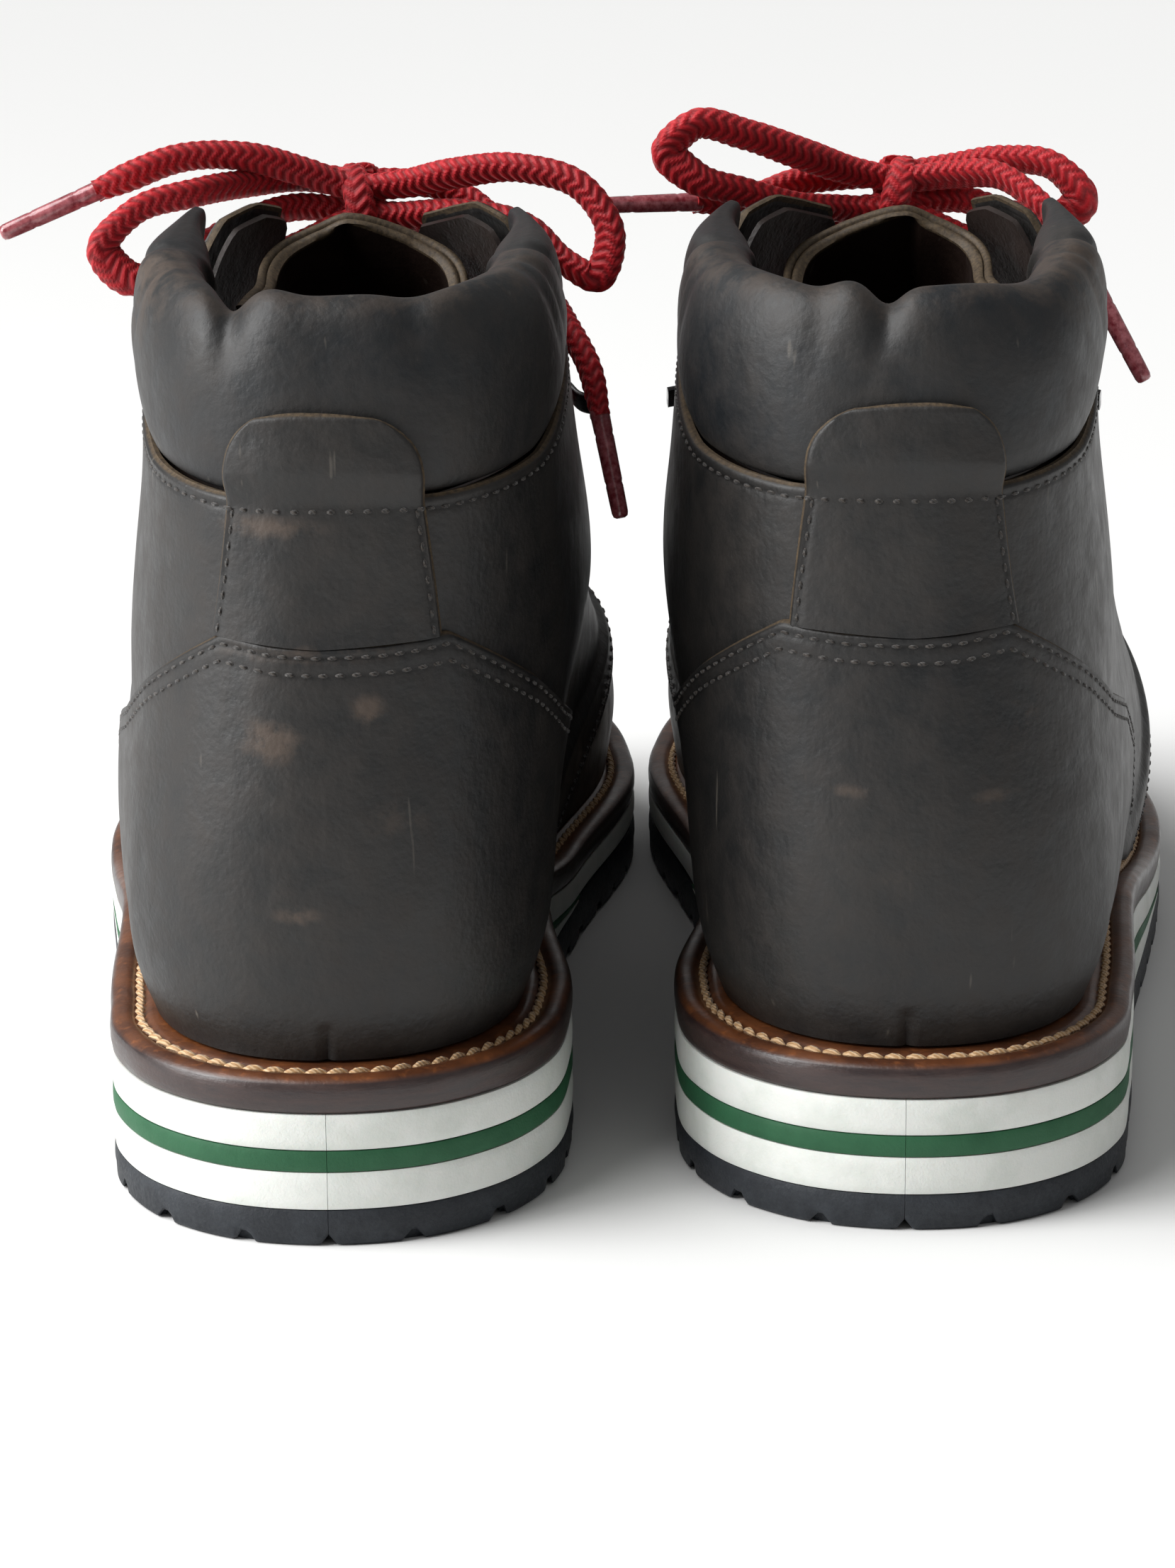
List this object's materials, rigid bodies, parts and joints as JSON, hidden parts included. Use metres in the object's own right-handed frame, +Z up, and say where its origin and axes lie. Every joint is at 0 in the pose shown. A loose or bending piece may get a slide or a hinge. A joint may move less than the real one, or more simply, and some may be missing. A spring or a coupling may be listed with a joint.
{
  "type": "hiking boots",
  "caption": "Pair of lace-up ankle-high leather hiking boots with padded collars, heel patches, striped foam midsoles and lugged rubber treads.",
  "frame": {"origin": "on the ground, at the centre of the pair's footprint (laces left out)", "axes": "+Z up, +Y towards the toes, +X from the left boot to the right boot"},
  "size_m": [0.2228, 0.3111, 0.1698],
  "materials": {
    "oiled_leather": "oiled full-grain leather, satin, scuffed",
    "collar_leather": "soft padded leather, satin",
    "lining_leather": "smooth lining leather, matt",
    "welt_leather": "waxed welt leather with pale lockstitch",
    "white_foam": "matt microcellular foam",
    "green_foam": "matt microcellular foam",
    "black_rubber": "matt moulded rubber",
    "insole_board": "pressed leather board",
    "spring_steel": "mill-finish spring steel",
    "black_enamel": "black enamelled steel",
    "red_braid": "braided polyester",
    "aglet_film": "clear film over red braid"
  },
  "bodies": {
    "left_boot": {"left_aglet_1": "aglet_film", "left_aglet_2": "aglet_film", "left_collar": "collar_leather", "left_footbed": "lining_leather", "left_heel_counter": "oiled_leather", "left_heel_patch": "oiled_leather", "left_insole_board": "insole_board", "left_lace": "red_braid", "left_lace_ring_lateral_1": "black_enamel", "left_lace_ring_lateral_2": "black_enamel", "left_lace_ring_medial_1": "black_enamel", "left_lace_ring_medial_2": "black_enamel", "left_lining": "lining_leather", "left_midsole_lower": "white_foam", "left_midsole_stripe": "green_foam", "left_midsole_upper": "white_foam", "left_outsole": "black_rubber", "left_quarter_lateral": "oiled_leather", "left_quarter_medial": "oiled_leather", "left_shank": "spring_steel", "left_speed_hook_lateral_1": "black_enamel", "left_speed_hook_lateral_2": "black_enamel", "left_speed_hook_medial_1": "black_enamel", "left_speed_hook_medial_2": "black_enamel", "left_vamp": "oiled_leather", "left_welt": "welt_leather"},
    "right_boot": {"right_aglet_1": "aglet_film", "right_aglet_2": "aglet_film", "right_collar": "collar_leather", "right_footbed": "lining_leather", "right_heel_counter": "oiled_leather", "right_heel_patch": "oiled_leather", "right_insole_board": "insole_board", "right_lace": "red_braid", "right_lace_ring_lateral_1": "black_enamel", "right_lace_ring_lateral_2": "black_enamel", "right_lace_ring_medial_1": "black_enamel", "right_lace_ring_medial_2": "black_enamel", "right_lining": "lining_leather", "right_midsole_lower": "white_foam", "right_midsole_stripe": "green_foam", "right_midsole_upper": "white_foam", "right_outsole": "black_rubber", "right_quarter_lateral": "oiled_leather", "right_quarter_medial": "oiled_leather", "right_shank": "spring_steel", "right_speed_hook_lateral_1": "black_enamel", "right_speed_hook_lateral_2": "black_enamel", "right_speed_hook_medial_1": "black_enamel", "right_speed_hook_medial_2": "black_enamel", "right_vamp": "oiled_leather", "right_welt": "welt_leather"},
    "left_pull_tab": {"left_pull_tab": "oiled_leather"},
    "left_tongue": {"left_tongue": "lining_leather"},
    "right_pull_tab": {"right_pull_tab": "oiled_leather"},
    "right_tongue": {"right_tongue": "lining_leather"}
  },
  "joints": [
    {"name": "right_boot_slide", "type": "slide", "parent": "left_boot", "child": "right_boot", "axis": [1, 0, 0], "range_m": [0, 0.15]},
    {"name": "left_pull_tab_hinge", "type": "hinge", "parent": "left_boot", "child": "left_pull_tab", "pos_m": [-0.04871, -0.1444, 0.12034], "axis": [0.9998, 0.018, 0], "range_deg": [0, 50], "stiffness_Nm_per_rad": 0.01},
    {"name": "left_tongue_hinge", "type": "hinge", "parent": "left_boot", "child": "left_tongue", "pos_m": [-0.05194, 0.07089, 0.07097], "axis": [0.9998, 0.018, 0], "range_deg": [0, 8], "stiffness_Nm_per_rad": 3},
    {"name": "right_pull_tab_hinge", "type": "hinge", "parent": "right_boot", "child": "right_pull_tab", "pos_m": [0.04646, -0.13714, 0.12034], "axis": [0.9994, -0.034, 0], "range_deg": [0, 50], "stiffness_Nm_per_rad": 0.01},
    {"name": "right_tongue_hinge", "type": "hinge", "parent": "right_boot", "child": "right_tongue", "pos_m": [0.05313, 0.07807, 0.07097], "axis": [0.9994, -0.034, 0], "range_deg": [0, 8], "stiffness_Nm_per_rad": 3}
  ]
}
